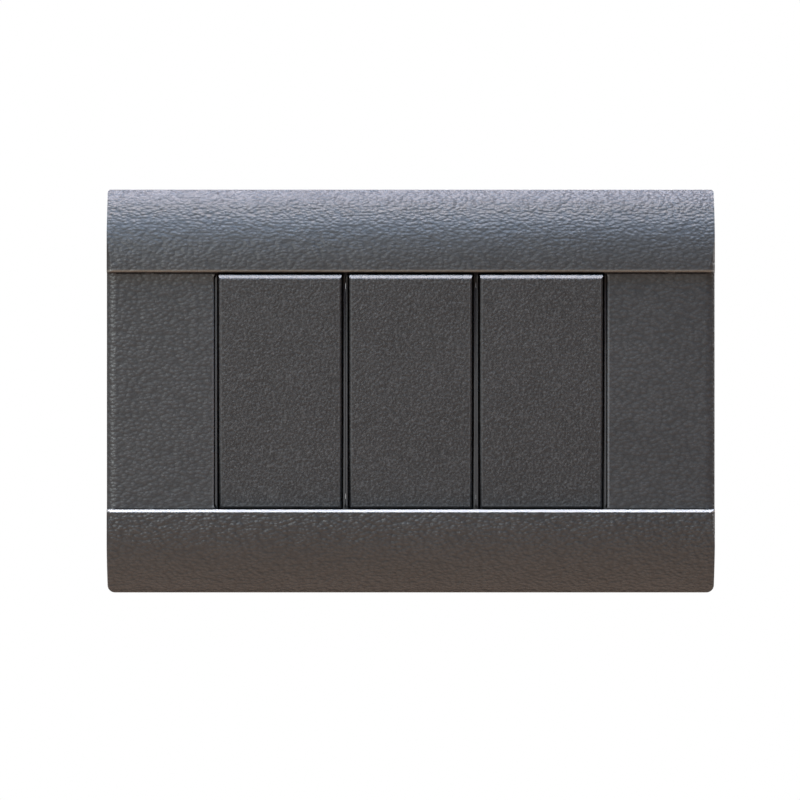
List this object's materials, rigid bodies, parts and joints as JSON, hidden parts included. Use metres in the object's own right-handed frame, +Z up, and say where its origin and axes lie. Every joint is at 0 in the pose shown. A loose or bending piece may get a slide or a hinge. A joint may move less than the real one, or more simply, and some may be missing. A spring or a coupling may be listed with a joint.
{
  "type": "wall plate cover",
  "caption": "Dark rectangular wall plate cover with raised upper and lower bands round a row of plain rocker keys, on a mounting frame with working switch modules behind.",
  "frame": {"origin": "middle of the plate on the plane of the wall's face", "axes": "+X along the plate's width, +Y into the wall, +Z up; the front faces -Y"},
  "size_m": [0.1164, 0.0377, 0.0776],
  "materials": {
    "cover_plastic": "fine leather grain, satin",
    "key_plastic": "very fine grain, satin",
    "bezel_plastic": "fine grain",
    "frame_plastic": "moulded, matt",
    "housing_plastic": "moulded, matt",
    "rear_plastic": "moulded, matt",
    "cradle_plastic": "moulded, satin",
    "plunger_plastic": "smooth",
    "spring_steel": "bright wire",
    "brass": "stamped",
    "contact_silver": "satin silver",
    "zinc_steel": "zinc plated"
  },
  "bodies": {
    "base": {"mounting_frame": "frame_plastic", "box_screws": "zinc_steel", "bezel_left": "bezel_plastic", "switch_body_left": "housing_plastic", "rear_cover_left": "rear_plastic", "fixed_contact_left": "contact_silver", "common_terminal_left": "brass", "switched_terminal_left": "brass", "clamp_plates_left": "zinc_steel", "terminal_screws_left": "zinc_steel", "bezel_middle": "bezel_plastic", "switch_body_middle": "housing_plastic", "rear_cover_middle": "rear_plastic", "fixed_contact_middle": "contact_silver", "common_terminal_middle": "brass", "switched_terminal_middle": "brass", "clamp_plates_middle": "zinc_steel", "terminal_screws_middle": "zinc_steel", "bezel_right": "bezel_plastic", "switch_body_right": "housing_plastic", "rear_cover_right": "rear_plastic", "fixed_contact_right": "contact_silver", "common_terminal_right": "brass", "switched_terminal_right": "brass", "clamp_plates_right": "zinc_steel", "terminal_screws_right": "zinc_steel"},
    "cover": {"cover_plate": "cover_plastic"},
    "rocker_left": {"key_left": "key_plastic", "cradle_left": "cradle_plastic", "plunger_spring_left": "spring_steel"},
    "plunger_body_left": {"plunger_left": "plunger_plastic"},
    "contact_arm_left": {"contact_rocker_left": "brass", "moving_contact_left": "contact_silver"},
    "rocker_middle": {"key_middle": "key_plastic", "cradle_middle": "cradle_plastic", "plunger_spring_middle": "spring_steel"},
    "plunger_body_middle": {"plunger_middle": "plunger_plastic"},
    "contact_arm_middle": {"contact_rocker_middle": "brass", "moving_contact_middle": "contact_silver"},
    "rocker_right": {"key_right": "key_plastic", "cradle_right": "cradle_plastic", "plunger_spring_right": "spring_steel"},
    "plunger_body_right": {"plunger_right": "plunger_plastic"},
    "contact_arm_right": {"contact_rocker_right": "brass", "moving_contact_right": "contact_silver"}
  },
  "joints": [
    {"name": "cover_pull", "type": "slide", "parent": "base", "child": "cover", "axis": [0, -1, 0], "range_m": [0, 0.024]},
    {"name": "key_press_left", "type": "hinge", "parent": "base", "child": "rocker_left", "pos_m": [-0.025, -0.0058, 0], "axis": [1, 0, 0], "range_deg": [-8, 0]},
    {"name": "contact_throw_left", "type": "hinge", "parent": "base", "child": "contact_arm_left", "pos_m": [-0.025, 0.0054, 0], "axis": [1, 0, 0], "range_deg": [0, 17.6]},
    {"name": "plunger_slide_left", "type": "slide", "parent": "rocker_left", "child": "plunger_body_left", "axis": [0, 0.9976, 0.0698], "range_m": [-0.0005, 0], "stiffness_N_per_m": 800, "springref_m": 0.002, "deforming": ["plunger_spring_left"]},
    {"name": "key_press_middle", "type": "hinge", "parent": "base", "child": "rocker_middle", "pos_m": [0, -0.0058, 0], "axis": [1, 0, 0], "range_deg": [-8, 0]},
    {"name": "contact_throw_middle", "type": "hinge", "parent": "base", "child": "contact_arm_middle", "pos_m": [0, 0.0054, 0], "axis": [1, 0, 0], "range_deg": [0, 17.6]},
    {"name": "plunger_slide_middle", "type": "slide", "parent": "rocker_middle", "child": "plunger_body_middle", "axis": [0, 0.9976, 0.0698], "range_m": [-0.0005, 0], "stiffness_N_per_m": 800, "springref_m": 0.002, "deforming": ["plunger_spring_middle"]},
    {"name": "key_press_right", "type": "hinge", "parent": "base", "child": "rocker_right", "pos_m": [0.025, -0.0058, 0], "axis": [1, 0, 0], "range_deg": [-8, 0]},
    {"name": "contact_throw_right", "type": "hinge", "parent": "base", "child": "contact_arm_right", "pos_m": [0.025, 0.0054, 0], "axis": [1, 0, 0], "range_deg": [0, 17.6]},
    {"name": "plunger_slide_right", "type": "slide", "parent": "rocker_right", "child": "plunger_body_right", "axis": [0, 0.9976, 0.0698], "range_m": [-0.0005, 0], "stiffness_N_per_m": 800, "springref_m": 0.002, "deforming": ["plunger_spring_right"]}
  ],
  "couplings": [
    {"joint": "contact_throw_left", "follows": "key_press_left", "ratio": -2.2},
    {"joint": "contact_throw_middle", "follows": "key_press_middle", "ratio": -2.2},
    {"joint": "contact_throw_right", "follows": "key_press_right", "ratio": -2.2}
  ]
}
